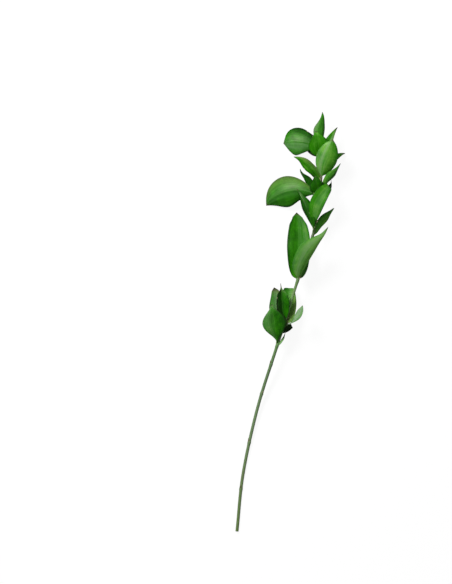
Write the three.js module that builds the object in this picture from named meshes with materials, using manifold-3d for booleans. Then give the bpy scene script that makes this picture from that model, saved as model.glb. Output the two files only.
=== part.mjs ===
// One cut stem of ruscus, lying down: a bare green stalk below, and above it broad
// pointed leaves (flattened side shoots) that grow one from each node.
// Millimetres. +Y runs from the cut end to the tip, +Z is up from the surface the
// stem lies on, and the origin is under the middle of the whole stem.
// The stem grew in one piece, so stalk and leaves are one solid.
import * as THREE from "three";
import { mergeVertices } from "three/addons/utils/BufferGeometryUtils.js";
import Module from "manifold-3d";

// ---- The stalk ----
// Its middle line, from the cut end, which lies on the surface, to the last leaves.
const CUT_END = [-79, -305, 1.9];
const STALK_LINE = [
  CUT_END,
  [-70, -221, 1.9],
  [-49, -125, 7],
  [-21, -34, 22],
  [7, 56, 30],
  [32, 132, 30],
  [43, 207, 27],
  [40, 253, 23],
];
const STALK_RADIUS = 2.25; // at the cut end
const TIP_RADIUS = 1.1; // where the last leaves leave it
const TAPER = 4; // the power of its length that it thins with, so mostly near the tip
const STALK_SIDES = 8;
const STALK_STEPS = 48;

// ---- The leaves ----
const BLADE_THICKNESS = 0.7;
const ALONG = 12; // steps from root to tip
const ACROSS = 4; // steps from edge to edge
const NECK = 0.05; // the share of a leaf that is its narrow neck
const NECK_HALF_WIDTH = 1.0;
const TIP_HALF_WIDTH = 0.3;
const WAVES = 1.6; // ripples along each edge

// A leaf's own numbers. node is how far up the stalk it grows, in millimetres from
// the cut end, tip is where its tip ends, and width is across its widest part, which
// is the share widest of the way up. A low blunt makes both its ends fuller, and tail is
// how far its tip is drawn in, from the share shoulder on. The rest bend it, in degrees:
// roll turns its upper face to the right as seen from the root, bend droops it towards
// the underside, sway curves it to the right, hook is the extra bend of its last quarter,
// fold lifts both halves along the midrib and cup curls their edges down.
const LEAF = {
  width: 32, widest: 0.45, blunt: 0.85, tail: 0.3, shoulder: 0.5, roll: 0, bend: 30,
  sway: 0, hook: 20, fold: 14, cup: 22, wave: 1.2,
};
const LEAVES = [
  { node: 279, tip: [-9, -15, 22], width: 3.6, roll: -30, sway: -60, wave: 0.3 },
  { node: 281, tip: [-29, 27, 40], width: 37, widest: 0.56, blunt: 1.6, tail: 0, bend: 40,
    sway: -2, fold: 35, cup: 45 },
  { node: 298, tip: [-1, -2, 0], width: 22, roll: -40 },
  { node: 302, tip: [-25, 51, 14], width: 28, blunt: 0.48, roll: -8, sway: -10 },
  { node: 312, tip: [15.5, 25, 38], width: 12.5, widest: 0.72, blunt: 1.4, tail: 0, roll: -40,
    sway: -115 },
  { node: 312, tip: [-3.5, 49.5, 3], width: 27, widest: 0.36, blunt: 0.4, tail: 0.1, sway: -10,
    bend: 0, hook: 90 },
  { node: 315, tip: [-16, 57, 33], width: 23, tail: 0.8, shoulder: 0.7, roll: 12, sway: 12,
    fold: 45 },
  { node: 377, tip: [8, 160.5, 2], width: 35, widest: 0.44, blunt: 0.42, tail: 0.2,
    shoulder: 0.78, roll: 14, sway: -6, bend: 15, fold: 8, cup: 14 },
  { node: 381, tip: [52, 138, 50], width: 46, widest: 0.52, blunt: 0.45, tail: 0.75,
    shoulder: 0.47, sway: 55, roll: 50, bend: 20, fold: -25, cup: 30 },
  { node: 447, tip: [62.5, 167, 6], width: 15, widest: 0.38, blunt: 0.7, roll: 45, sway: 45,
    bend: 8 },
  { node: 456, tip: [8, 194, 22], width: 19, roll: -28, sway: -36, fold: -20 },
  { node: 466, tip: [53.5, 195.5, 34], width: 21.5, widest: 0.48, blunt: 0.6, tail: 0,
    sway: 70, bend: 50, hook: 100 },
  { node: 496, tip: [58, 208.5, 8], width: 13, roll: 60 },
  { node: 506, tip: [-36, 171, 0], width: 51, widest: 0.58, blunt: 0.9, tail: 0, sway: -82,
    bend: 30, fold: -6, cup: 40 },
  { node: 508, tip: [34, 212, 40], width: 22, blunt: 0.7, sway: 20 },
  { node: 514, tip: [13, 224, 10], width: 13, roll: -50 },
  { node: 516, tip: [70.5, 230.5, 34], width: 14.5, roll: 40, sway: 25, fold: -15 },
  { node: 527, tip: [3, 240, 34], width: 23, widest: 0.42, blunt: 0.75, roll: 45, sway: -15 },
  { node: 534, tip: [59, 264, 46], width: 33, widest: 0.48, blunt: 0.62, tail: 0, sway: 5,
    bend: 40, fold: -8, cup: 25 },
  { node: 543, tip: [79, 247, 0], width: 10, sway: 35 },
  { node: 548, tip: [67, 284, 16], width: 13, sway: 30, bend: 20 },
  { node: 560, tip: [35, 277, 36], width: 30, widest: 0.5, tail: 0.2, bend: 35, sway: -6 },
  { node: 563, tip: [17, 282, 0], width: 24, blunt: 0.6 },
  { node: 572, tip: [45, 306, 20], width: 30, widest: 0.42, tail: 0.15, roll: 50, sway: 4,
    fold: -25, cup: 45 },
  { node: 576, tip: [-11, 261, 8], width: 43, widest: 0.6, blunt: 0.6, tail: 0, sway: -50,
    bend: 50, fold: 0, cup: 35 },
];

// ---- Shared helpers ----
const rad = THREE.MathUtils.degToRad;
const { smoothstep, lerp } = THREE.MathUtils;

const stalkCurve = new THREE.CatmullRomCurve3(
  STALK_LINE.map((place) => new THREE.Vector3(...place)),
  false,
  "catmullrom",
);
const stalkLength = stalkCurve.getLength();

// A turn given as a vector: its direction is the axis and its length the angle.
function turnBy(vector) {
  const angle = vector.length();
  const axis = angle > 0 ? vector.clone().divideScalar(angle) : vector.clone();
  return new THREE.Quaternion().setFromAxisAngle(axis, angle);
}

// A frame with y along a direction, x level to its right and z upward.
function frameAlong(direction) {
  const along = direction.clone().normalize();
  const across = along.clone().cross(new THREE.Vector3(0, 0, 1)).normalize();
  const up = across.clone().cross(along);
  return new THREE.Quaternion().setFromRotationMatrix(
    new THREE.Matrix4().makeBasis(across, along, up),
  );
}

// Points and frames down the midrib, from the root inside the stalk to the tip. It is
// drawn at unit length first, then turned and scaled to end at the leaf's tip.
function midrib(leaf) {
  const turn = new THREE.Vector3(-rad(leaf.bend), 0, -rad(leaf.sway));
  const axes = turnBy(turn.clone().multiplyScalar(-0.5));
  const point = new THREE.Vector3();
  const frames = [{ point: point.clone(), axes: axes.clone() }];
  const hooked = (u) => rad(leaf.hook) * smoothstep(u, 0.75, 1);
  for (let i = 1; i <= ALONG; i++) {
    const step = turn.clone().divideScalar(ALONG);
    step.x -= hooked(i / ALONG) - hooked((i - 1) / ALONG);
    const half = turnBy(step.multiplyScalar(0.5));
    axes.multiply(half);
    point.add(new THREE.Vector3(0, 1 / ALONG, 0).applyQuaternion(axes));
    axes.multiply(half);
    frames.push({ point: point.clone(), axes: axes.clone() });
  }
  const root = stalkCurve.getPointAt(leaf.node / stalkLength);
  const chord = new THREE.Vector3(...leaf.tip).sub(root);
  const aim = frameAlong(chord)
    .multiply(turnBy(new THREE.Vector3(0, rad(leaf.roll), 0)))
    .multiply(frameAlong(point).invert());
  const scale = chord.length() / point.length();
  for (const frame of frames) {
    frame.point.applyQuaternion(aim).multiplyScalar(scale).add(root);
    frame.axes.premultiply(aim);
  }
  return frames;
}

// Half the blade's width: a neck, a wedge-shaped base, broad below the middle, and a
// drawn-out tip.
function halfWidth(leaf, u) {
  const blade = Math.max(0, (u - NECK) / (1 - NECK));
  const place = Math.min(1, blade ** (Math.log(0.5) / Math.log(leaf.widest)));
  const ovate = Math.sin(Math.PI * place) ** leaf.blunt;
  const drawnOut = 1 - leaf.tail * smoothstep(blade, leaf.shoulder, 0.9);
  const end = lerp(NECK_HALF_WIDTH, TIP_HALF_WIDTH, u);
  return Math.max(end, (leaf.width / 2) * ovate * drawnOut);
}

// A point of the blade's middle surface, across (v from -1 to 1) at one frame.
function bladePoint(leaf, { point, axes }, u, v) {
  const side = Math.sign(v);
  const out = Math.abs(v);
  const half = halfWidth(leaf, u);
  const [fold, cup] = [rad(leaf.fold), -rad(leaf.cup)];
  const across = (half * Math.sin(cup * out)) / cup;
  const lift = (half * (1 - Math.cos(cup * out))) / cup;
  const wave = leaf.wave * out ** 2 * Math.sin(Math.PI * u);
  const ripple = wave * Math.sin(2 * Math.PI * WAVES * u + leaf.node + side);
  return new THREE.Vector3(
    side * (across * Math.cos(fold) - lift * Math.sin(fold)),
    0,
    across * Math.sin(fold) + lift * Math.cos(fold) + ripple,
  )
    .applyQuaternion(axes)
    .add(point);
}

// One blade as a closed solid: a grid for the upper face, the same grid turned over
// for the lower face, and a rim between them.
function bladeGeometry(leaf) {
  const frames = midrib(leaf);
  const middle = frames.map((frame, i) =>
    Array.from({ length: ACROSS + 1 }, (_, j) =>
      bladePoint(leaf, frame, i / ALONG, (2 * j) / ACROSS - 1),
    ),
  );
  const normalAt = (i, j) => {
    const down = middle[Math.min(i + 1, ALONG)][j].clone();
    down.sub(middle[Math.max(i - 1, 0)][j]);
    const right = middle[i][Math.min(j + 1, ACROSS)].clone();
    right.sub(middle[i][Math.max(j - 1, 0)]);
    return right.cross(down).normalize();
  };
  const faces = [0.5, -0.5].map((share) =>
    middle.flatMap((row, i) =>
      row.map((point, j) => {
        const placed = normalAt(i, j).multiplyScalar(share * BLADE_THICKNESS).add(point);
        placed.z = Math.max(placed.z, (share + 0.5) * BLADE_THICKNESS); // lies on the surface
        return placed;
      }),
    ),
  );
  const columns = ACROSS + 1;
  const under = columns * (ALONG + 1);
  const index = [];
  const quad = (a, b, c, d) => index.push(a, b, c, a, c, d);
  for (let i = 0; i < ALONG; i++)
    for (let j = 0; j < ACROSS; j++) {
      const a = i * columns + j;
      const [b, c, d] = [a + 1, a + columns + 1, a + columns];
      quad(a, b, c, d);
      index.push(under + a, under + c, under + b, under + a, under + d, under + c);
    }
  const rim = [];
  for (let j = 0; j < ACROSS; j++) rim.push(j);
  for (let i = 0; i < ALONG; i++) rim.push(i * columns + ACROSS);
  for (let j = ACROSS; j > 0; j--) rim.push(ALONG * columns + j);
  for (let i = ALONG; i > 0; i--) rim.push(i * columns);
  rim.forEach((a, k) => {
    const b = rim[(k + 1) % rim.length];
    quad(b, a, under + a, under + b);
  });
  return new THREE.BufferGeometry().setFromPoints(faces.flat()).setIndex(index);
}

// The tapering stalk: a cylinder carried along its curve, flat where it lies down.
function stalkGeometry() {
  const geometry = new THREE.CylinderGeometry(1, 1, 1, STALK_SIDES, STALK_STEPS);
  geometry.rotateY(Math.PI / STALK_SIDES); // a flat side down
  const position = geometry.getAttribute("position");
  for (let i = 0; i < position.count; i++) {
    const share = position.getY(i) + 0.5;
    const radius = lerp(STALK_RADIUS, TIP_RADIUS, share ** TAPER);
    const placed = new THREE.Vector3(position.getX(i), 0, position.getZ(i))
      .multiplyScalar(radius)
      .applyQuaternion(frameAlong(stalkCurve.getTangentAt(share)))
      .add(stalkCurve.getPointAt(share));
    position.setXYZ(i, placed.x, placed.y, Math.max(placed.z, 0));
  }
  return geometry;
}

// ---- Joining ----
const wasm = await Module();
wasm.setup();

function solidOf(geometry) {
  geometry.deleteAttribute("normal");
  geometry.deleteAttribute("uv");
  const merged = mergeVertices(geometry, 1e-3);
  return new wasm.Manifold(
    new wasm.Mesh({
      numProp: 3,
      vertProperties: merged.getAttribute("position").array,
      triVerts: new Uint32Array(merged.index.array),
    }),
  );
}

function geometryOf(solid) {
  const mesh = solid.getMesh();
  const geometry = new THREE.BufferGeometry();
  geometry.setAttribute("position", new THREE.BufferAttribute(mesh.vertProperties, 3));
  geometry.setIndex(new THREE.BufferAttribute(mesh.triVerts, 1));
  geometry.computeVertexNormals();
  return geometry;
}

const leaves = LEAVES.map((own) => ({ ...LEAF, ...own }));
const leafyStem = leaves.reduce(
  (stem, leaf) => stem.add(solidOf(bladeGeometry(leaf))),
  solidOf(stalkGeometry()),
);

const green = new THREE.MeshStandardMaterial({
  color: 0x2f7a24,
  roughness: 0.45,
  metalness: 0,
});
const leafyStemMesh = new THREE.Mesh(geometryOf(leafyStem), green);
leafyStemMesh.name = "leafy_stem";

const ruscus = new THREE.Group();
ruscus.add(leafyStemMesh);

export default ruscus;
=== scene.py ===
"""A cut stem of ruscus, lying down: a bare green stalk below, and above it broad pointed
leaves that grow one from each node. Metres; +Y runs from the cut end to the tip."""

import math
import random

import bmesh
import bpy
from mathutils import Matrix, Quaternion, Vector, noise


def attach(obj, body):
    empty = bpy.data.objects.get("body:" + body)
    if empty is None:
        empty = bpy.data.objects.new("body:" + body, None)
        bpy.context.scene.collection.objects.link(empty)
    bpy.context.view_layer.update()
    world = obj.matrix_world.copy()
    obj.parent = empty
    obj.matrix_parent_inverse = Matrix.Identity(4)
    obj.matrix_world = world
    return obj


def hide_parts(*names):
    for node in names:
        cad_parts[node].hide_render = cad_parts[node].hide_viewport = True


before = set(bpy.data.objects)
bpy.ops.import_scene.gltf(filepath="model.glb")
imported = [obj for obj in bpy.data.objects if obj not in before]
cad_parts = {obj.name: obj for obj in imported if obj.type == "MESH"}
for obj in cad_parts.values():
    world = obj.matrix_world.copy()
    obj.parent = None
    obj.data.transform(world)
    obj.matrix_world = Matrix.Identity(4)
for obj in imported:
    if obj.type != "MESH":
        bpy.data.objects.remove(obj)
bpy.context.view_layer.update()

# ---- The stalk ----
# One long round shoot, smooth and faintly ridged, with a slight swelling at each node.
# It is fibre under a waxy green skin, and was cut straight across with secateurs.

MM = 0.001
STALK_LINE = [
    # from the cut end, which lies on the surface, to the last leaves, in millimetres
    (-79, -305, 1.9),
    (-70, -221, 1.9),
    (-49, -125, 7),
    (-21, -34, 22),
    (7, 56, 30),
    (32, 132, 30),
    (43, 207, 27),
    (40, 253, 23),
]
STALK_RADIUS = 2.25 * MM  # at the cut end
TIP_RADIUS = 1.1 * MM
TAPER = 4  # the power of its length that it thins with, so mostly near the tip
STALK_SIDES = 28
STALK_STEPS = 420
RIDGES = 7  # shallow ridges round the stalk
RIDGE_HEIGHT = 0.035  # as a share of the radius
RIDGE_TWIST = 9  # radians that the ridges turn from end to end
BARE_NODES = (62, 131, 205, 251)  # nodes below the leaves, up from the cut end
NODE_SWELLING = 0.16  # as a share of the radius
NODE_REACH = 2.4 * MM
FIBRES_ROUND = 24  # streaks of the skin, counted round the stalk
FIBRE_LENGTH = 14 * MM
PATCH_SIZE = 35 * MM  # of the skin's older patches
BUNDLE_SIZE = 0.35 * MM  # of the fibres in the cut face


def stalk_line(t):
    """A point of the Catmull-Rom curve through STALK_LINE, t from 0 to 1."""
    points = [Vector(p) * MM for p in STALK_LINE]
    points = [2 * points[0] - points[1], *points, 2 * points[-1] - points[-2]]
    place = t * (len(STALK_LINE) - 1)
    first = min(int(place), len(STALK_LINE) - 2)
    w = place - first
    a, b, c, d = points[first : first + 4]
    start, end = (c - a) / 2, (d - b) / 2
    rise = 3 * (c - b) - 2 * start - end
    turn = 2 * (b - c) + start + end
    return b + start * w + rise * w**2 + turn * w**3


LINE_STEPS = 400
line_points = [stalk_line(i / LINE_STEPS) for i in range(LINE_STEPS + 1)]
line_lengths = [0.0]
for before, after in zip(line_points, line_points[1:]):
    line_lengths.append(line_lengths[-1] + (after - before).length)
stalk_length = line_lengths[-1]


def stalk_point(up):
    """The middle of the stalk, up metres from its cut end."""
    up = min(max(up, 0.0), stalk_length)
    i = next(k for k in range(1, LINE_STEPS + 1) if line_lengths[k] >= up)
    share = (up - line_lengths[i - 1]) / (line_lengths[i] - line_lengths[i - 1])
    return line_points[i - 1].lerp(line_points[i], share)


def stalk_direction(up):
    """Which way the stalk grows there, over two millimetres of it."""
    step = 1 * MM
    return (stalk_point(up + step) - stalk_point(up - step)).normalized()


def frame_along(direction):
    """A turn that puts y along a direction, x level to its right and z upward."""
    along = direction.normalized()
    across = along.cross(Vector((0, 0, 1))).normalized()
    up = across.cross(along)
    return Matrix((across, along, up)).transposed().to_quaternion()


def stalk_radius(up):
    """The stalk's radius without its ridges and nodes."""
    share = up / stalk_length
    return STALK_RADIUS + (TIP_RADIUS - STALK_RADIUS) * share**TAPER


def linear(hex_colour):
    """An sRGB hex colour as linear red, green, blue and alpha."""
    parts = [int(hex_colour[i : i + 2], 16) / 255 for i in (1, 3, 5)]
    return [c / 12.92 if c <= 0.04045 else ((c + 0.055) / 1.055) ** 2.4 for c in parts] + [1]


def add(material, kind, inputs=(), **settings):
    """Adds a node, sets it, and gives each input its value or the output that feeds it."""
    node = material.node_tree.nodes.new(kind)
    for name, value in settings.items():
        setattr(node, name, value)
    for name, value in dict(inputs).items():
        if isinstance(value, bpy.types.NodeSocket):
            material.node_tree.links.new(value, node.inputs[name])
        else:
            node.inputs[name].default_value = value
    return node


def new_material(name):
    """An empty node material."""
    material = bpy.data.materials.new(name)
    material.use_nodes = True
    material.node_tree.nodes.clear()
    return material


def stalk_skin():
    """Waxy skin: satin, streaked along its length, grey-green, olive where it is older."""
    m = new_material("waxy_stalk_skin")
    place = add(m, "ShaderNodeUVMap", uv_map="stalk").outputs[0]
    spot = add(m, "ShaderNodeTexCoord").outputs["Object"]
    streaks = add(
        m,
        "ShaderNodeMapping",
        {"Vector": place, "Scale": (FIBRES_ROUND, stalk_length / FIBRE_LENGTH, 1)},
    )
    fibre = add(
        m,
        "ShaderNodeTexNoise",
        {"Vector": streaks.outputs[0], "Scale": 1, "Detail": 3, "Roughness": 0.6},
    ).outputs["Fac"]
    patches = add(
        m, "ShaderNodeTexNoise", {"Vector": spot, "Scale": 1 / PATCH_SIZE, "Detail": 2}
    ).outputs["Fac"]
    up = add(m, "ShaderNodeSeparateXYZ", {0: place}).outputs["Y"]
    ages = add(m, "ShaderNodeValToRGB", {"Fac": up})
    ramp = ages.color_ramp.elements
    ramp[0].color = linear("#536a36")
    ramp[1].color = linear("#43342a")
    for share, green in (
        (0.3, "#59714a"),
        (0.42, "#556e48"),
        (0.52, "#4f7a3c"),
        (0.6, "#618a4c"),
        (0.68, "#42602c"),
        (0.85, "#3d4826"),
    ):
        ramp.new(share).color = linear(green)
    light = add(
        m, "ShaderNodeMapRange", {"Value": fibre, "To Min": 0.55, "To Max": 1.45}
    ).outputs[0]
    colour = add(
        m,
        "ShaderNodeMix",
        {0: 1.0, 6: ages.outputs["Color"], 7: light},
        data_type="RGBA",
        blend_type="MULTIPLY",
    ).outputs[2]
    older = add(
        m,
        "ShaderNodeMapRange",
        {"Value": patches, "From Min": 0.5, "From Max": 0.75, "To Max": 0.3},
    ).outputs[0]
    colour = add(
        m, "ShaderNodeMix", {0: older, 6: colour, 7: linear("#6b6a4c")}, data_type="RGBA"
    ).outputs[2]
    bump = add(
        m, "ShaderNodeBump", {"Height": fibre, "Strength": 0.35, "Distance": 0.1 * MM}
    ).outputs[0]
    shader = add(
        m,
        "ShaderNodeBsdfPrincipled",
        {"Base Color": colour, "Normal": bump, "Roughness": 0.48, "IOR": 1.45},
    )
    add(m, "ShaderNodeOutputMaterial", {"Surface": shader.outputs[0]})
    return m


def cut_fibre():
    """The cut face: pale damp pith with darker bundles of fibre, matte."""
    m = new_material("cut_stalk_fibre")
    spot = add(m, "ShaderNodeTexCoord").outputs["Object"]
    bundles = add(m, "ShaderNodeTexVoronoi", {"Vector": spot, "Scale": 1 / BUNDLE_SIZE})
    dots = add(
        m,
        "ShaderNodeMapRange",
        {"Value": bundles.outputs["Distance"], "From Min": 0.15, "From Max": 0.45},
    ).outputs[0]
    colour = add(
        m,
        "ShaderNodeMix",
        {0: dots, 6: linear("#7c7a48"), 7: linear("#c4c48f")},
        data_type="RGBA",
    ).outputs[2]
    shader = add(m, "ShaderNodeBsdfPrincipled", {"Base Color": colour, "Roughness": 0.8})
    add(m, "ShaderNodeOutputMaterial", {"Surface": shader.outputs[0]})
    return m


def new_piece(bm, name, slot, *materials):
    """Makes a finished bmesh an object that stands for the CAD stem, with the rest of it."""
    mesh = bpy.data.meshes.new(name)
    bm.to_mesh(mesh)
    bm.free()
    mesh.polygons.foreach_set("use_smooth", [True] * len(mesh.polygons))
    for material in materials:
        mesh.materials.append(material)
    piece = bpy.data.objects.new(name, mesh)
    bpy.context.scene.collection.objects.link(piece)
    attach(piece, "root")
    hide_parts("leafy_stem")
    return piece


# Each leaf's own numbers, here because the stalk swells where one grows. node is how far
# up the stalk that is and tip is where the leaf ends, in millimetres, as its width is.
# widest to wave shape it, as said further down, and dry is the share of it, at its tip,
# that has dried. tone runs from the darkest leaves to the palest; it is partly each leaf's
# own green and partly painted shade, low where a leaf lies in shade. rise and lean are
# painted light and shade, which make a leaf paler towards its tip and its right edge.
# bloom is how strong a painted highlight is, a pale bluish-green sheen; sheen is where
# across the leaf it lies, from -1 to 1, and reach how far it spreads. olive is how far the
# right margin has turned.
LEAF = {
    "width": 32, "widest": 0.45, "blunt": 0.85, "tail": 0.3, "shoulder": 0.5, "roll": 0,
    "bend": 30, "sway": 0, "hook": 20, "fold": 14, "cup": 22, "wave": 1.2, "dry": 0.04,
    "tone_and_shade": 0.42, "rise": 0, "painted_side_light": 0, "painted_highlight": 0, "sheen": -0.4, "reach": 0.45, "olive": 0,
}
LEAVES = [
    dict(node=279, tip=(-9, -15, 22), width=3.6, roll=-30, sway=-60, wave=0.3, tone_and_shade=0.6,
         painted_highlight=1, reach=2),
    dict(node=281, tip=(-29, 27, 40), width=37, widest=0.56, blunt=1.6, tail=0, bend=40,
         sway=-2, fold=35, cup=45, tone_and_shade=0.4, rise=-0.08, painted_side_light=-0.16, painted_highlight=0.4, sheen=-0.7),
    dict(node=298, tip=(-1, -2, 0), width=22, roll=-40, tone_and_shade=0.05),
    dict(node=302, tip=(-25, 51, 14), width=28, blunt=0.48, roll=2, bend=24, sway=-10,
         dry=0.12, tone_and_shade=0.33, rise=0.1, painted_side_light=-0.08, painted_highlight=0.5, sheen=-0.2, olive=0.5),
    dict(node=312, tip=(15.5, 25, 38), width=12.5, widest=0.72, blunt=1.4, tail=0, roll=-40,
         sway=-115, dry=0.03, tone_and_shade=0.5, painted_highlight=1.2, sheen=0, reach=2),
    dict(node=312, tip=(-3.5, 49.5, 3), width=27, widest=0.36, blunt=0.4, tail=0.1, bend=0,
         sway=-10, hook=90, tone_and_shade=0.56, rise=-0.28, painted_side_light=0.22, painted_highlight=0.3, sheen=0.3,
         olive=0.35),
    dict(node=315, tip=(-16, 57, 33), width=23, tail=0.8, shoulder=0.7, roll=12, sway=12,
         fold=45, dry=0.14, tone_and_shade=0.26, rise=0.05, painted_side_light=0.14),
    dict(node=377, tip=(8, 160.5, 2), width=35, widest=0.44, blunt=0.42, tail=0.2,
         shoulder=0.78, roll=14, bend=15, sway=-6, fold=8, cup=14, tone_and_shade=0.46, rise=-0.06,
         painted_side_light=0.1, painted_highlight=0.3, sheen=0.5),
    dict(node=381, tip=(52, 138, 50), width=46, widest=0.52, blunt=0.45, tail=0.75,
         shoulder=0.47, roll=50, bend=20, sway=55, fold=-25, cup=30, dry=0.05, tone_and_shade=0.6,
         rise=0.12, painted_side_light=-0.06, painted_highlight=0.55, sheen=-0.55, reach=0.4),
    dict(node=447, tip=(62.5, 167, 6), width=15, widest=0.38, blunt=0.7, roll=45, bend=8,
         sway=45, tone_and_shade=0.48, painted_side_light=0.12),
    dict(node=456, tip=(8, 194, 26), width=19, roll=-28, sway=-36, fold=-20, tone_and_shade=0.27,
         painted_side_light=0.1),
    dict(node=466, tip=(53.5, 195.5, 34), width=21.5, widest=0.48, blunt=0.6, tail=0,
         bend=50, sway=70, hook=100, tone_and_shade=0.52, rise=0.12, painted_highlight=0.25, sheen=0.3,
         reach=0.6),
    dict(node=496, tip=(58, 208.5, 8), width=13, roll=60, tone_and_shade=0.1),
    dict(node=506, tip=(-36, 171, 0), width=51, widest=0.58, blunt=0.9, tail=0, sway=-82,
         fold=-6, cup=40, tone_and_shade=0.37, painted_highlight=0.12, sheen=0, olive=0.3),
    dict(node=508, tip=(34, 212, 40), width=22, blunt=0.7, sway=20, tone_and_shade=0.33),
    dict(node=514, tip=(13, 224, 10), width=13, roll=-50, tone_and_shade=0.18),
    dict(node=516, tip=(70.5, 230.5, 34), width=14.5, roll=40, sway=25, fold=-15, tone_and_shade=0.5,
         rise=-0.1, painted_side_light=-0.15, painted_highlight=0.15, sheen=-0.5),
    dict(node=527, tip=(3, 240, 34), width=23, widest=0.42, blunt=0.75, roll=45, sway=-15,
         tone_and_shade=0.54, painted_side_light=0.08, olive=0.6),
    dict(node=534, tip=(59, 264, 46), width=33, widest=0.48, blunt=0.62, tail=0, bend=40,
         sway=5, fold=-8, cup=25, tone_and_shade=0.6, painted_side_light=-0.08, painted_highlight=0.6, sheen=-0.5),
    dict(node=543, tip=(79, 247, 0), width=10, sway=35, dry=0.14, tone_and_shade=0.45),
    dict(node=548, tip=(67, 284, 16), width=13, bend=20, sway=30, dry=0.1, tone_and_shade=0.52,
         painted_highlight=0.4, sheen=0.3, olive=0.4),
    dict(node=560, tip=(35, 277, 36), width=30, widest=0.5, tail=0.2, bend=35, sway=-6,
         tone_and_shade=0.5),
    dict(node=563, tip=(17, 282, 0), width=24, blunt=0.6, bend=12, fold=-6, tone_and_shade=0.1),
    dict(node=572, tip=(45, 306, 20), width=30, widest=0.42, tail=0.15, roll=50, sway=4,
         fold=-25, cup=45, tone_and_shade=0.31, painted_side_light=-0.12, painted_highlight=0.12, sheen=0),
    dict(node=576, tip=(-11, 261, 8), width=43, widest=0.6, blunt=0.6, tail=0, bend=50,
         sway=-50, fold=0, cup=35, tone_and_shade=0.36, rise=0.1, painted_side_light=-0.07, painted_highlight=0.4, sheen=-0.25),
]
leaves = [LEAF | own for own in LEAVES]

nodes_up = [n * MM for n in (*BARE_NODES, *(leaf["node"] for leaf in leaves))]
bm = bmesh.new()
uv = bm.loops.layers.uv.new("stalk")
bmesh.ops.create_cone(
    bm, cap_ends=True, segments=STALK_SIDES, radius1=1, radius2=1, depth=1, calc_uvs=True
)
sides = [e for e in bm.edges if abs(e.verts[0].co.z - e.verts[1].co.z) > 0.5]
bmesh.ops.subdivide_edges(bm, edges=sides, cuts=STALK_STEPS - 1, use_grid_fill=True)
for face in bm.faces:
    angles = [math.atan2(loop.vert.co.y, loop.vert.co.x) for loop in face.loops]
    seam = max(angles) - min(angles) > math.pi
    for loop, angle in zip(face.loops, angles):
        round_share = (angle + 2 * math.pi if seam and angle < 0 else angle) / (2 * math.pi)
        loop[uv].uv = (round_share, loop.vert.co.z + 0.5)
for vert in bm.verts:
    up = (vert.co.z + 0.5) * stalk_length
    angle = math.atan2(vert.co.y, vert.co.x)
    swelling = sum(math.exp(-(((up - n) / NODE_REACH) ** 2)) for n in nodes_up)
    radius = stalk_radius(up) * (1 + NODE_SWELLING * min(1, swelling))
    radius *= 1 + RIDGE_HEIGHT * math.cos(RIDGES * angle + RIDGE_TWIST * up / stalk_length)
    spoke = Vector((math.cos(angle), 0, math.sin(angle))) * radius
    vert.co = stalk_point(up) + frame_along(stalk_direction(up)) @ spoke
    vert.co.z = max(vert.co.z, 0)
bmesh.ops.recalc_face_normals(bm, faces=bm.faces)
for face in bm.faces:
    face.material_index = 1 if len(face.verts) > 4 else 0  # only the two ends have more sides
new_piece(bm, "stalk", "stalk", stalk_skin(), cut_fibre())

# ---- The leaves ----
# Broad flattened side shoots, tough and leathery, waxy and satin above and duller below.
# Each grows out of its node by a short neck. Veins run from root to tip, and the very
# tip is dry and dark.

NECK = 0.05  # the share of a leaf that is its narrow neck
NECK_HALF_WIDTH = 1.0  # in millimetres
TIP_HALF_WIDTH = 0.25  # in millimetres
WAVES = 1.6  # ripples along each edge
DRAWN_IN = 0.9  # the share at which a tip is drawn in all the way
POINT = 11 / 12  # from this share on, a leaf runs straight to its tip
HOOK_FROM = 0.75  # the share from which a leaf hooks over
LEAF_ALONG = 72
LEAF_ACROSS = 60
NECK_THICKNESS = 1.1 * MM
NECK_FADE = 0.12  # the share of a leaf over which its neck thins to the blade
RIB_SHARE = 0.75  # of the neck's thickness, along the midrib
BLADE_SHARE = 0.42  # of the neck's thickness, over the blade
RIB_HALF_WIDTH = 0.8  # in millimetres
RIB_DEPTH = 0.1  # how far the midrib is sunk, in millimetres
CREASE = 0.2  # the share of each half over which the fold along the midrib is rounded
VEIN_SPACING = 3.1  # in millimetres, where the leaf is widest
VEIN_HEIGHT = 0.035  # in millimetres
BUCKLE = 0.5  # how far the blade swells between its veins, in millimetres
BUCKLE_SIZE = 15  # in millimetres
USUAL_LENGTH = 60  # of a leaf, in millimetres, for laying the buckles along it
LEAST_HEIGHT = 0.3 * MM  # of a blade's middle over the surface it lies on
LEAF_PATCH = 16 * MM  # the size of a leaf's faint patches
NICK_SIZE = 5 * MM  # how far apart the nicks in a margin are
# The streaks along a leaf are veins, finer veins and broad bands. Each has its width and
# length, in millimetres.
STREAKS = ((1.1, 45), (0.32, 14), (4.5, 70))


def smoothstep(value, low, high):
    """Rises softly from 0 to 1 as a value goes from low to high."""
    x = min(max((value - low) / (high - low), 0), 1)
    return x * x * (3 - 2 * x)


def turn_by(vector):
    """A turn about a vector, by its length."""
    return Quaternion(vector, vector.length) if vector.length > 0 else Quaternion()


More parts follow.
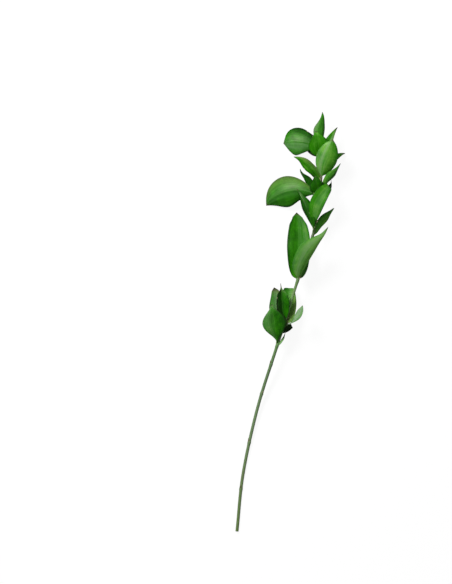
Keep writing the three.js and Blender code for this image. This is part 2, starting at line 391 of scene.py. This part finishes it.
def midrib(leaf, steps):
    """Points and turns down the midrib, from the root in the stalk to the tip.

    In degrees, bend droops the leaf towards its underside, sway curves it to the right,
    hook bends its last quarter more, and roll turns its upper face to the right."""
    bend, sway, hook, roll = (math.radians(leaf[k]) for k in ("bend", "sway", "hook", "roll"))
    turn = Vector((-bend, 0, -sway))
    axes = turn_by(-0.5 * turn)
    point = Vector()
    line = [(point, axes)]
    for i in range(1, steps + 1):
        step = turn / steps
        hooked = [smoothstep(k / steps, HOOK_FROM, 1) for k in (i - 1, i)]
        step.x -= hook * (hooked[1] - hooked[0])
        half = turn_by(step / 2)
        axes = axes @ half
        point = point + axes @ Vector((0, 1 / steps, 0))
        axes = axes @ half
        line.append((point, axes))
    root = stalk_point(leaf["node"] * MM)
    chord = Vector(leaf["tip"]) * MM - root
    aim = frame_along(chord) @ turn_by(Vector((0, roll, 0))) @ frame_along(point).inverted()
    scale = chord.length / point.length
    return [(root + aim @ p * scale, aim @ q) for p, q in line]


def half_width(leaf, u):
    """Half the blade's width in millimetres, at a share u of its length.

    It is widest at the share widest. A low blunt makes both ends fuller, and tail is how
    far the tip is drawn in, from the share shoulder on."""
    if u > POINT:
        left = (1 - u) / (1 - POINT)
        return half_width(leaf, POINT) * left + TIP_HALF_WIDTH * (1 - left)
    blade = max(0.0, (u - NECK) / (1 - NECK))
    place = min(1.0, blade ** (math.log(0.5) / math.log(leaf["widest"])))
    ovate = max(0.0, math.sin(math.pi * place)) ** leaf["blunt"]
    drawn_out = 1 - leaf["tail"] * smoothstep(blade, leaf["shoulder"], DRAWN_IN)
    end = NECK_HALF_WIDTH + (TIP_HALF_WIDTH - NECK_HALF_WIDTH) * u
    return max(end, leaf["width"] / 2 * ovate * drawn_out)


def blade_point(leaf, place, u, v):
    """A point of the blade, across from v = -1 to 1, at one place of its midrib.

    In degrees, fold lifts both halves along the midrib and cup curls their edges down.
    wave is how high its edges ripple, in millimetres."""
    point, axes = place
    side = math.copysign(1, v)
    out = abs(v)
    half = half_width(leaf, u)
    fold, cup = math.radians(leaf["fold"]), -math.radians(leaf["cup"])
    across = half * math.sin(cup * out) / cup
    raised = math.hypot(across, CREASE * half) - CREASE * half
    lift = half * (1 - math.cos(cup * out)) / cup
    middle = math.sin(math.pi * u)
    wave = leaf["wave"] * out**2 * middle
    ripple = wave * math.sin(2 * math.pi * WAVES * u + leaf["node"] + side * (out > 0))
    spot = Vector((v * half, u * USUAL_LENGTH, leaf["node"])) / BUCKLE_SIZE
    relief = BUCKLE * noise.noise(spot) * middle
    lanes = v * leaf["width"] / VEIN_SPACING + noise.noise(spot)
    relief += VEIN_HEIGHT * middle * math.cos(math.pi * lanes)
    relief -= RIB_DEPTH * (1 - u) * middle * math.exp(-((v * half / RIB_HALF_WIDTH) ** 2))
    local = Vector(
        (
            side * (across * math.cos(fold) - lift * math.sin(fold)),
            0,
            raised * math.sin(fold) + lift * math.cos(fold) + ripple + relief,
        )
    )
    return point + axes @ (local * MM)


def add_blade(bm, leaf, along, across):
    """Adds one blade to a bmesh: a grid carried along the leaf's midrib.

    The map blade is in millimetres across and along it, and share runs from 0 to 1. The
    attributes tone, dry, bloom and olive carry the leaf's looks to its skin: its own
    colours, with painted light and shade in tone and a painted highlight in bloom."""
    millimetres = bm.loops.layers.uv.get("blade") or bm.loops.layers.uv.new("blade")
    share = bm.loops.layers.uv.get("share") or bm.loops.layers.uv.new("share")
    thickness = bm.verts.layers.deform.verify()
    floats = bm.verts.layers.float
    looks = {k: floats.get(k) or floats.new(k) for k in ("tone_and_shade", "dry", "painted_highlight", "olive")}
    grid = bmesh.ops.create_grid(bm, x_segments=across, y_segments=along, size=1)
    places = midrib(leaf, along)
    length = (places[-1][0] - places[0][0]).length / MM
    for face in {f for vert in grid["verts"] for f in vert.link_faces}:
        for loop in face.loops:
            v, u = loop.vert.co.x, (loop.vert.co.y + 1) / 2
            loop[millimetres].uv = (v * leaf["width"] / 2, u * length + leaf["node"])
            loop[share].uv = ((v + 1) / 2, u)
    for vert in grid["verts"]:
        v, u = vert.co.x, (vert.co.y + 1) / 2
        rib = math.exp(-((v * half_width(leaf, u) / RIB_HALF_WIDTH) ** 2)) * (1 - u)
        blade = BLADE_SHARE + (RIB_SHARE - BLADE_SHARE) * rib
        vert[thickness][0] = blade + (1 - blade) * (1 - smoothstep(u, 0, NECK_FADE))
        # Painted light and shade: rise and lean make a leaf paler, or darker, towards its tip
        # and its right edge.
        vert[looks["tone_and_shade"]] = leaf["tone_and_shade"] + leaf["rise"] * (u - 0.5) + leaf["painted_side_light"] * v
        # A painted highlight: a soft band across the leaf, centred at sheen.
        from_sheen = (v - leaf["sheen"]) / leaf["reach"]
        vert[looks["painted_highlight"]] = leaf["painted_highlight"] * math.exp(-(from_sheen**2))
        vert[looks["dry"]] = leaf["dry"]
        vert[looks["olive"]] = leaf["olive"]
        vert.co = blade_point(leaf, places[round(u * along)], u, v)
        vert.co.z = max(vert.co.z, LEAST_HEIGHT)


def leaf_face(name, duller, satin):
    """A leaf's waxy skin, satin: long fine veins, faint patches and a dry dark tip.

    duller is how far its green is greyed, and satin how rough its glossiest streaks are."""
    m = new_material(name)
    spot = add(m, "ShaderNodeTexCoord").outputs["Object"]
    blade = add(m, "ShaderNodeUVMap", uv_map="blade").outputs[0]
    share = add(m, "ShaderNodeUVMap", uv_map="share").outputs[0]
    share = add(m, "ShaderNodeSeparateXYZ", {0: share})
    along = share.outputs["Y"]
    from_middle = add(
        m, "ShaderNodeMath", {0: share.outputs["X"], 1: 0.5}, operation="SUBTRACT"
    )
    from_middle = add(m, "ShaderNodeMath", {0: from_middle.outputs[0]}, operation="ABSOLUTE")
    tone_and_shade = add(m, "ShaderNodeAttribute", attribute_name="tone_and_shade").outputs["Fac"]
    dry_share = add(m, "ShaderNodeAttribute", attribute_name="dry").outputs["Fac"]
    painted_highlight = add(m, "ShaderNodeAttribute", attribute_name="painted_highlight").outputs["Fac"]
    olive = add(m, "ShaderNodeAttribute", attribute_name="olive").outputs["Fac"]

    # Faint patches, and streaks that follow the veins.
    patches = add(
        m,
        "ShaderNodeTexNoise",
        {"Vector": spot, "Scale": 1 / LEAF_PATCH, "Detail": 4, "Roughness": 0.6},
    ).outputs["Fac"]
    veins = []
    for spacing, length in STREAKS:
        lanes = add(
            m, "ShaderNodeMapping", {"Vector": blade, "Scale": (1 / spacing, 1 / length, 1)}
        ).outputs[0]
        vein = add(m, "ShaderNodeTexNoise", {"Vector": lanes, "Scale": 1, "Detail": 2})
        veins.append(vein.outputs["Fac"])

    # The green itself: each leaf's tone, partly its own green and partly painted shade,
    # moved a little by patches and veins, and darker along the margin, a painted shade.
    depth = add(m, "ShaderNodeMath", {0: patches, 1: 0.5, 2: -0.35}, operation="MULTIPLY_ADD")
    depth = add(m, "ShaderNodeMath", {0: depth.outputs[0], 1: tone_and_shade}, operation="ADD")
    depth = add(
        m,
        "ShaderNodeMath",
        {0: veins[0], 1: 0.2, 2: depth.outputs[0]},
        operation="MULTIPLY_ADD",
    )
    streak = add(m, "ShaderNodeMath", {0: veins[2], 1: 0.2, 2: -0.1}, operation="MULTIPLY_ADD")
    depth = add(
        m, "ShaderNodeMath", {0: depth.outputs[0], 1: streak.outputs[0]}, operation="ADD"
    )
    # Painted shade: darker towards the margin.
    edge = add(
        m,
        "ShaderNodeMapRange",
        {"Value": from_middle.outputs[0], "From Min": 0.38, "From Max": 0.5, "To Max": 0.2},
    ).outputs[0]
    depth = add(m, "ShaderNodeMath", {0: depth.outputs[0], 1: edge}, operation="SUBTRACT")
    greens = add(m, "ShaderNodeValToRGB", {"Fac": depth.outputs[0]})
    ramp = greens.color_ramp.elements
    ramp[0].color = linear("#061c02")
    ramp[1].color = linear("#a9c69b")
    for place, green in ((0.25, "#0d4600"), (0.5, "#277200"), (0.75, "#639b33")):
        ramp.new(place).color = linear(green)
    colour = add(
        m,
        "ShaderNodeMix",
        {0: duller, 6: greens.outputs["Color"], 7: linear("#7d946c")},
        data_type="RGBA",
    ).outputs[2]

    # The right margin of some leaves has turned olive. The midrib is a little paler, the
    # neck is like the stalk, and a painted highlight, a pale bluish-green sheen, lies over
    # part of some leaves in streaks.
    side = add(
        m,
        "ShaderNodeMath",
        {0: veins[2], 1: 0.3, 2: share.outputs["X"]},
        operation="MULTIPLY_ADD",
    ).outputs[0]
    for value, low, high, most, other in (
        (side, 0.75, 1.05, olive, "#6f8048"),
        (from_middle.outputs[0], 0.02, 0.004, 0.08, "#86a85c"),
        (along, 0.09, 0.0, 0.75, "#66713a"),
        (veins[2], 0.25, 0.6, painted_highlight, "#6b8762"),
    ):
        line = add(
            m,
            "ShaderNodeMapRange",
            {"Value": value, "From Min": low, "From Max": high, "To Max": most},
        )
        colour = add(
            m,
            "ShaderNodeMix",
            {0: line.outputs[0], 6: colour, 7: linear(other)},
            data_type="RGBA",
        ).outputs[2]

    # Here and there the very margin is nicked, and has dried pale.
    nicks = add(
        m, "ShaderNodeTexNoise", {"Vector": spot, "Scale": 1 / NICK_SIZE, "Detail": 3}
    ).outputs["Fac"]
    nicks = add(
        m,
        "ShaderNodeMapRange",
        {"Value": nicks, "From Min": 0.66, "From Max": 0.7, "To Max": 0.8},
    ).outputs[0]
    margin = add(
        m,
        "ShaderNodeMapRange",
        {"Value": from_middle.outputs[0], "From Min": 0.46, "From Max": 0.48, "To Max": nicks},
    ).outputs[0]
    colour = add(
        m, "ShaderNodeMix", {0: margin, 6: colour, 7: linear("#b3ae8a")}, data_type="RGBA"
    ).outputs[2]

    # The dry tip: olive where it begins, then brown, with a ragged start.
    ragged = add(
        m, "ShaderNodeMath", {0: veins[0], 1: 0.05, 2: -0.025}, operation="MULTIPLY_ADD"
    )
    ragged = add(
        m, "ShaderNodeMath", {0: ragged.outputs[0], 1: along}, operation="ADD"
    ).outputs[0]
    for begins, ends, most, other in ((1.8, 0.7, 0.6, "#4c5630"), (1.0, 0.35, 1.0, "#2f2b20")):
        low, high = (
            add(m, "ShaderNodeMath", {0: dry_share, 1: -k, 2: 1.0}, operation="MULTIPLY_ADD")
            for k in (begins, ends)
        )
        dry = add(
            m,
            "ShaderNodeMapRange",
            {
                "Value": ragged,
                "From Min": low.outputs[0],
                "From Max": high.outputs[0],
                "To Max": most,
            },
        ).outputs[0]
        colour = add(
            m, "ShaderNodeMix", {0: dry, 6: colour, 7: linear(other)}, data_type="RGBA"
        ).outputs[2]

    relief = add(m, "ShaderNodeMath", {0: veins[1], 1: 0.4}, operation="MULTIPLY").outputs[0]
    relief = add(
        m, "ShaderNodeMath", {0: veins[0], 1: 1.0, 2: relief}, operation="MULTIPLY_ADD"
    ).outputs[0]
    bump = add(m, "ShaderNodeBump", {"Height": relief, "Strength": 0.4, "Distance": 0.12 * MM})
    gloss = add(
        m,
        "ShaderNodeMapRange",
        {
            "Value": veins[2],
            "From Min": 0.3,
            "From Max": 0.7,
            "To Min": satin,
            "To Max": satin + 0.1,
        },
    )
    rough = add(
        m,
        "ShaderNodeMix",
        {0: dry, 2: gloss.outputs[0], 3: 0.85},
        data_type="FLOAT",
    )
    shader = add(
        m,
        "ShaderNodeBsdfPrincipled",
        {
            "Base Color": colour,
            "Roughness": rough.outputs[0],
            "Normal": bump.outputs[0],
            "Specular IOR Level": 0.22,
            "Specular Tint": (0.85, 1.0, 0.6, 1),
            "Subsurface Weight": 0.1,
            "Subsurface Scale": 0.6 * MM,
            "Subsurface Radius": (0.5, 1.0, 0.2),
        },
    )
    add(m, "ShaderNodeOutputMaterial", {"Surface": shader.outputs[0]})
    return m


upper_face = leaf_face("waxy_leaf_face", duller=0.0, satin=0.4)
under_face = leaf_face("dull_leaf_back", duller=0.3, satin=0.5)
for number, leaf in enumerate(leaves, start=1):
    bm = bmesh.new()
    add_blade(bm, leaf, LEAF_ALONG, LEAF_ACROSS)
    piece = new_piece(bm, f"leaf_{number:02}", "leaf", upper_face, under_face)
    piece.vertex_groups.new(name="thickness")
    skin = piece.modifiers.new("thickness", "SOLIDIFY")
    skin.thickness = NECK_THICKNESS
    skin.offset = 0
    skin.vertex_group = "thickness"
    skin.material_offset = 1

# ---- The papery scales ----
# A small dry scale stands under each leaf's root and at each bare node. It is a thin
# brown membrane, pointed, and pressed against the stalk.

SCALE_LENGTH = 6.5  # in millimetres, as a leaf's sizes are
SCALE_WIDTH = 2.6
SCALE_FOLD = 30
SCALE_ALONG = 10
SCALE_ACROSS = 6
SCALE_THICKNESS = 0.3 * MM
SCALE_STANDS_OFF = 1.5 * MM  # the tip of a scale from the stalk's skin
STREAK_SIZE = 1.2 * MM  # of its darker streaks


def papery_scale():
    """Dry membrane: matte, brown, with darker streaks along it."""
    m = new_material("dry_papery_scale")
    spot = add(m, "ShaderNodeTexCoord").outputs["Object"]
    streaks = add(
        m, "ShaderNodeTexNoise", {"Vector": spot, "Scale": 1 / STREAK_SIZE, "Detail": 3}
    )
    colour = add(
        m,
        "ShaderNodeMix",
        {0: streaks.outputs["Fac"], 6: linear("#444626"), 7: linear("#84805a")},
        data_type="RGBA",
    ).outputs[2]
    shader = add(m, "ShaderNodeBsdfPrincipled", {"Base Color": colour, "Roughness": 0.7})
    add(m, "ShaderNodeOutputMaterial", {"Surface": shader.outputs[0]})
    return m


draw = random.Random(7)
bm = bmesh.new()
for up in nodes_up:
    grown = [leaf for leaf in leaves if abs(leaf["node"] * MM - up) < 0.1 * MM]
    along = stalk_direction(up)
    if grown:
        outward = Vector(grown[0]["tip"]) * MM - stalk_point(up)
    else:
        outward = Vector((draw.uniform(-1, 1), 0, 0.6))  # somewhere on the upper side
    outward = (outward - outward.dot(along) * along).normalized()
    tip_off = stalk_radius(up) + SCALE_STANDS_OFF
    tip = stalk_point(up) + along * SCALE_LENGTH * MM + outward * tip_off
    own = dict(node=up / MM - 1, tip=tip / MM, width=SCALE_WIDTH, fold=SCALE_FOLD, wave=0)
    add_blade(bm, LEAF | own, SCALE_ALONG, SCALE_ACROSS)
scales = new_piece(bm, "papery_scales", "stalk", papery_scale())
scales.vertex_groups.new(name="thickness")
membrane = scales.modifiers.new("thickness", "SOLIDIFY")
membrane.thickness = SCALE_THICKNESS
membrane.offset = 0

# ---- Floor, light and camera ----
# A plain white table under a large soft light from the upper left, seen from straight
# above.

FRAME_PIXELS = Vector((452, 584))
ORIGIN_PIXEL = Vector((291.5, 322.75))  # where the part's origin is seen
PIXEL = 1.45 * MM  # the real size of one pixel at the stalk
LENS = 135  # in millimetres, long, so that the view is nearly flat
SENSOR = 36  # in millimetres
STALK_HEIGHT = 25 * MM  # of its leafy part over the table
TABLE_HALF_WIDTH = 6
TABLE_GAP = 0.1 * MM  # under the stem, so that the two don't flicker


def white_table():
    """Matt white laminate, which glows a little so that it looks evenly white."""
    m = new_material("white_table_top")
    shader = add(
        m,
        "ShaderNodeBsdfPrincipled",
        {
            "Base Color": linear("#484848"),
            "Roughness": 0.9,
            "Specular IOR Level": 0.1,
            "Emission Color": (1, 1, 1, 1),
            "Emission Strength": 0.93,
        },
    )
    add(m, "ShaderNodeOutputMaterial", {"Surface": shader.outputs[0]})
    return m


bm = bmesh.new()
bmesh.ops.create_grid(bm, x_segments=1, y_segments=1, size=TABLE_HALF_WIDTH)
bmesh.ops.translate(bm, vec=(0, 0, -TABLE_GAP), verts=bm.verts)
floor_mesh = bpy.data.meshes.new("floor")
bm.to_mesh(floor_mesh)
bm.free()
floor_mesh.materials.append(white_table())
floor = bpy.data.objects.new("floor", floor_mesh)
bpy.context.scene.collection.objects.link(floor)
floor.visible_glossy = False  # no white haze on the leaves' dark sides


def area_light(name, place, size, power):
    """A round soft light that faces the stem, sized in metres, with its power in watts."""
    light = bpy.data.lights.new(name, "AREA")
    light.shape = "DISK"
    light.size = size
    light.energy = power
    lamp = bpy.data.objects.new(name, light)
    lamp.location = place
    lamp.rotation_euler = (-Vector(place)).to_track_quat("-Z", "Y").to_euler()
    bpy.context.scene.collection.objects.link(lamp)


area_light("key", place=(-1.1, 1.2, 1.7), size=0.9, power=85)
area_light("fill", place=(1.4, -0.6, 1.8), size=1.6, power=8)

# The room that the waxy leaves mirror is dim, with a brighter band at eye level. Where
# the camera looks past the table, it is plain white.
world = bpy.data.worlds.new("studio")
world.use_nodes = True
direction = add(world, "ShaderNodeTexCoord").outputs["Generated"]
height = add(world, "ShaderNodeSeparateXYZ", {0: direction}).outputs["Z"]
height = add(world, "ShaderNodeMath", {0: height, 1: 0.5, 2: 0.5}, operation="MULTIPLY_ADD")
walls = add(world, "ShaderNodeValToRGB", {"Fac": height.outputs[0]})
ramp = walls.color_ramp.elements
ramp[0].color = (0.02, 0.02, 0.02, 1)
ramp[1].color = (0.1, 0.1, 0.1, 1)
for place, grey in ((0.45, 0.1), (0.52, 0.3), (0.7, 0.1)):
    ramp.new(place).color = (grey, grey, grey, 1)
seen = add(world, "ShaderNodeLightPath").outputs["Is Camera Ray"]
plain = add(
    world,
    "ShaderNodeMix",
    {0: seen, 6: walls.outputs["Color"], 7: (1, 1, 1, 1)},
    data_type="RGBA",
)
background = world.node_tree.nodes["Background"]
world.node_tree.links.new(plain.outputs[2], background.inputs["Color"])
bpy.context.scene.world = world
bpy.context.scene.view_settings.view_transform = "Standard"

camera_data = bpy.data.cameras.new("camera")
camera_data.lens = LENS
camera_data.sensor_width = SENSOR
camera_data.clip_end = 20
camera = bpy.data.objects.new("camera", camera_data)
seen_from = (FRAME_PIXELS / 2 - ORIGIN_PIXEL) * PIXEL
distance = FRAME_PIXELS.y * PIXEL * LENS / SENSOR
camera.location = (seen_from.x, -seen_from.y, distance + STALK_HEIGHT)
bpy.context.scene.collection.objects.link(camera)
bpy.context.scene.camera = camera
